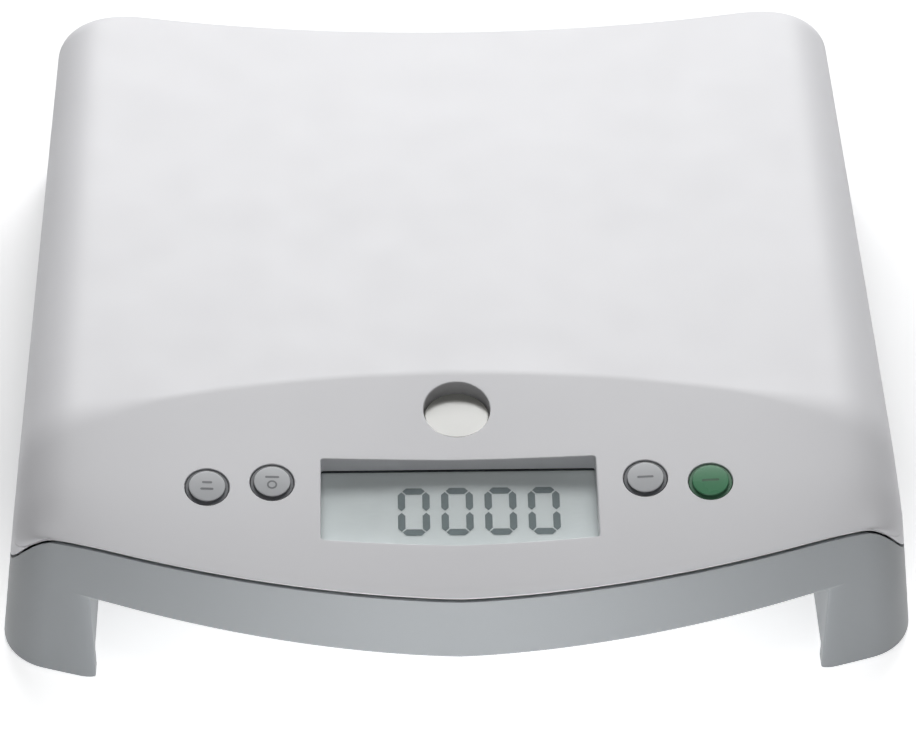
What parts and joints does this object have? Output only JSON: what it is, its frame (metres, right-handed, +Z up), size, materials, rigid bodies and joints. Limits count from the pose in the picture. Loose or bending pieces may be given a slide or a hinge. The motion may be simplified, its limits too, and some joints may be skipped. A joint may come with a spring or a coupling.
{
  "type": "baby scale",
  "caption": "Low white saddle-topped electronic scale base on legs at its corners, with a sloping front panel holding a liquid crystal display, round keys and a tray-release button.",
  "frame": {"origin": "on the floor under the middle of the base's bounding box", "axes": "+X towards the right seen from the front, across the width; +Y from the display towards the back; +Z up"},
  "size_m": [0.3294, 0.318, 0.0814],
  "materials": {
    "white_abs": "satin, fine moulded texture",
    "grey_abs": "satin, fine moulded texture",
    "cream_abs": "satin",
    "key_abs": "satin",
    "green_abs": "satin",
    "clear_acrylic": "polished",
    "display_glass": "satin",
    "holder_abs": "moulded",
    "black_rubber": "moulded",
    "grey_silicone": "moulded",
    "board_laminate": "solder mask",
    "milled_aluminium": "milled",
    "plated_steel": "zinc plated",
    "cell_sleeve": "printed sleeve"
  },
  "bodies": {
    "base": {"battery_1": "cell_sleeve", "battery_2": "cell_sleeve", "battery_3": "cell_sleeve", "battery_4": "cell_sleeve", "battery_5": "cell_sleeve", "battery_6": "cell_sleeve", "battery_contact_back": "plated_steel", "battery_contact_front": "plated_steel", "board_screw_1": "plated_steel", "board_screw_2": "plated_steel", "board_screw_3": "plated_steel", "board_screw_4": "plated_steel", "bottom_shell": "grey_abs", "cell_screw_back_left": "plated_steel", "cell_screw_back_right": "plated_steel", "cell_screw_front_left": "plated_steel", "cell_screw_front_right": "plated_steel", "display_board": "board_laminate", "display_connector": "black_rubber", "display_glass": "display_glass", "display_holder": "holder_abs", "display_window": "clear_acrylic", "foot_pad_back_left": "black_rubber", "foot_pad_back_right": "black_rubber", "foot_pad_front_left": "black_rubber", "foot_pad_front_right": "black_rubber", "foot_post_back_left": "grey_abs", "foot_post_back_right": "grey_abs", "foot_post_front_left": "grey_abs", "foot_post_front_right": "grey_abs", "hold_dome": "grey_silicone", "load_cell_back_left": "milled_aluminium", "load_cell_back_right": "milled_aluminium", "load_cell_front_left": "milled_aluminium", "load_cell_front_right": "milled_aluminium", "release_guide": "grey_abs", "release_spring": "plated_steel", "shell_screw_1": "plated_steel", "shell_screw_2": "plated_steel", "shell_screw_3": "plated_steel", "shell_screw_4": "plated_steel", "shell_screw_5": "plated_steel", "shell_screw_6": "plated_steel", "start_dome": "grey_silicone", "tare_dome": "grey_silicone", "top_shell": "white_abs", "unit_dome": "grey_silicone"},
    "unit_key": {"unit_key": "key_abs"},
    "tare_key": {"tare_key": "key_abs"},
    "hold_key": {"hold_key": "key_abs"},
    "start_key": {"start_key": "green_abs"},
    "release_button": {"release_button": "cream_abs"},
    "battery_door": {"battery_door": "grey_abs"}
  },
  "joints": [
    {"name": "unit_key_press", "type": "slide", "parent": "base", "child": "unit_key", "axis": [-0.0592, 0.1789, -0.9821], "range_m": [0, 0.0008], "stiffness_N_per_m": 900, "springref_m": -0.0006},
    {"name": "tare_key_press", "type": "slide", "parent": "base", "child": "tare_key", "axis": [-0.0542, 0.1756, -0.983], "range_m": [0, 0.0008], "stiffness_N_per_m": 900, "springref_m": -0.0006},
    {"name": "hold_key_press", "type": "slide", "parent": "base", "child": "hold_key", "axis": [0.0542, 0.1756, -0.983], "range_m": [0, 0.0008], "stiffness_N_per_m": 900, "springref_m": -0.0006},
    {"name": "start_key_press", "type": "slide", "parent": "base", "child": "start_key", "axis": [0.0592, 0.1789, -0.9821], "range_m": [0, 0.0008], "stiffness_N_per_m": 900, "springref_m": -0.0006},
    {"name": "tray_release_press", "type": "slide", "parent": "base", "child": "release_button", "axis": [0, 0, -1], "range_m": [0, 0.003], "stiffness_N_per_m": 700, "springref_m": -0.002, "deforming": ["release_spring"]},
    {"name": "battery_door_hinge", "type": "hinge", "parent": "base", "child": "battery_door", "pos_m": [0, 0.068, 0.0416], "axis": [1, 0, 0], "range_deg": [0, 90]}
  ]
}
